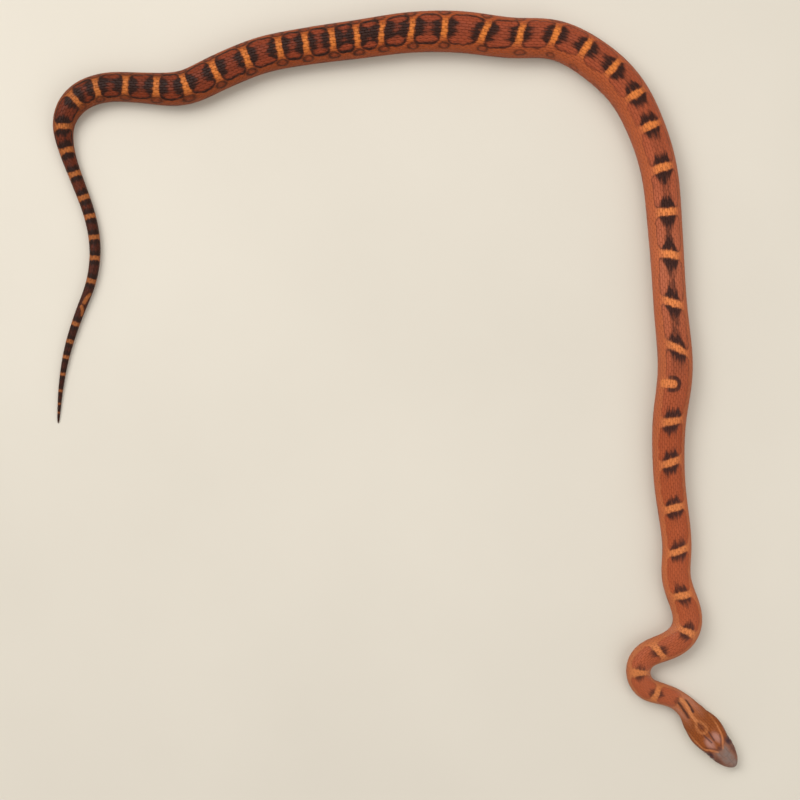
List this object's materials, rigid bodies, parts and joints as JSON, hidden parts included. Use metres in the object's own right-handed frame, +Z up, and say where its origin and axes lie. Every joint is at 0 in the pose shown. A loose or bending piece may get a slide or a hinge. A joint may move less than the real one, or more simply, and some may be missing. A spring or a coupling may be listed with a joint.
{
  "type": "corn snake",
  "caption": "Corn snake lying at rest, life size, S-bent neck and one wide bend of the body; red-brown saddles with black edges between orange bars.",
  "frame": {"origin": "under the middle of the snake's box, on the surface it lies on", "axes": "+X to the head's side, +Y from the head end towards the wide bend of the body, +Z up from the floor"},
  "size_m": [0.3647, 0.4023, 0.0187],
  "materials": {
    "crown_skin": "smooth satin head plates, brown with tan and dark lines",
    "jaw_skin": "satin lip and chin plates, tan to cream with dark edges",
    "ground_skin": "satin overlapping scales, rust orange, with orange bars",
    "saddle_skin": "satin overlapping scales, brick red saddles edged with black",
    "dark_skin": "satin overlapping scales, near black saddles of the tail",
    "eye": "polished dark eye under a clear spectacle"
  },
  "bodies": {
    "root": {"head": "crown_skin", "lower_jaw": "jaw_skin", "eye_left": "eye", "eye_right": "eye", "neck_front": "ground_skin", "neck_bend": "saddle_skin", "neck_rear": "ground_skin", "forebody_front": "saddle_skin", "forebody_rear": "ground_skin", "midbody_front": "saddle_skin", "midbody_corner": "ground_skin", "midbody_rear": "saddle_skin", "hindbody_front": "ground_skin", "hindbody_rear": "saddle_skin", "vent_bend": "dark_skin", "tail_base": "ground_skin", "tail_middle": "dark_skin", "tail_tip": "ground_skin"}
  },
  "joints": []
}
